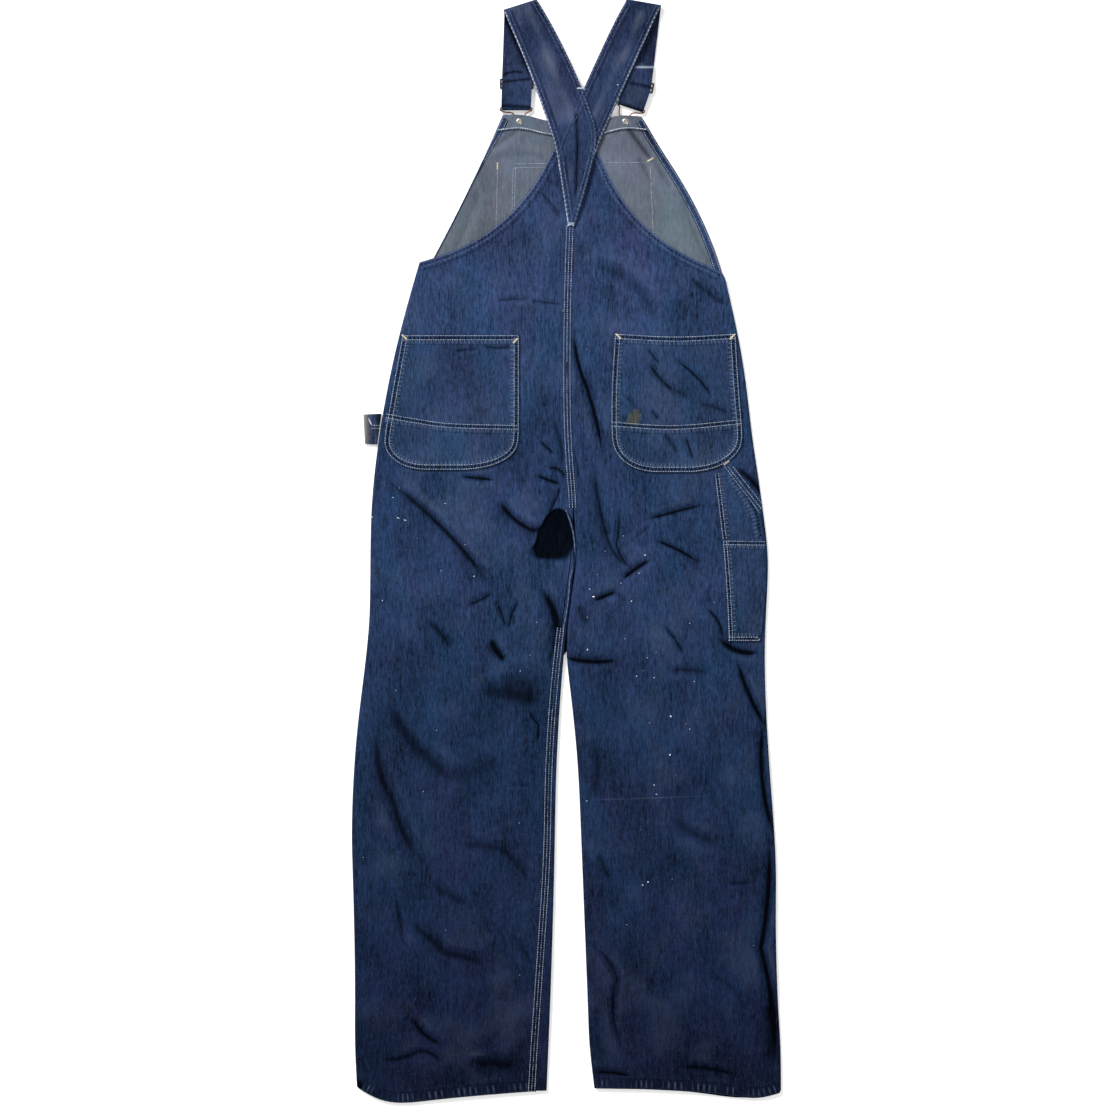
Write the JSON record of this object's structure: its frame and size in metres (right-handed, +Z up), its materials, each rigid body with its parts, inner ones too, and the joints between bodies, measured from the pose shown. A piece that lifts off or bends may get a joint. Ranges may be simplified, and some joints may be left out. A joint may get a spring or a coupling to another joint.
{
  "type": "paint spattered denim bib overalls, laid flat",
  "caption": "Worn indigo denim bib overalls lying flat on their front, back up, with crossed straps, patch pockets, hammer loop, tool pocket and flecks of pale paint.",
  "frame": {"origin": "centre of the garment's outline, on the surface it lies on", "axes": "+Y from the hems to the shoulder straps, +X to the wearer's right seen on the back, +Z up from the surface"},
  "size_m": [0.568, 1.4601, 0.0093],
  "materials": {
    "denim": "faded indigo twill with creases",
    "pocket_denim": "faded indigo twill patch",
    "strap_denim": "faded indigo twill, sewn double",
    "bib_inside": "pale inner face of the twill",
    "loop_denim": "worn twill, faded at the fold",
    "thread": "matt cotton thread",
    "slide_metal": "dark lacquer, worn",
    "hook_wire": "dull bronze wire",
    "button_metal": "tarnished silver"
  },
  "bodies": {
    "root": {"back_left": "denim", "back_right": "denim", "front_left": "denim", "front_right": "denim", "bib": "bib_inside", "bib_facing": "bib_inside", "bib_pocket": "denim", "back_pocket_left": "pocket_denim", "back_pocket_right": "pocket_denim", "tool_pocket_upper": "pocket_denim", "tool_pocket_lower": "pocket_denim", "strap_left": "strap_denim", "strap_right": "strap_denim", "hammer_loop": "loop_denim", "slide_left": "slide_metal", "slide_right": "slide_metal", "hook_left": "hook_wire", "hook_right": "hook_wire", "bib_button_left": "button_metal", "bib_button_right": "button_metal", "button_tack_left": "button_metal", "button_tack_right": "button_metal"}
  },
  "joints": []
}
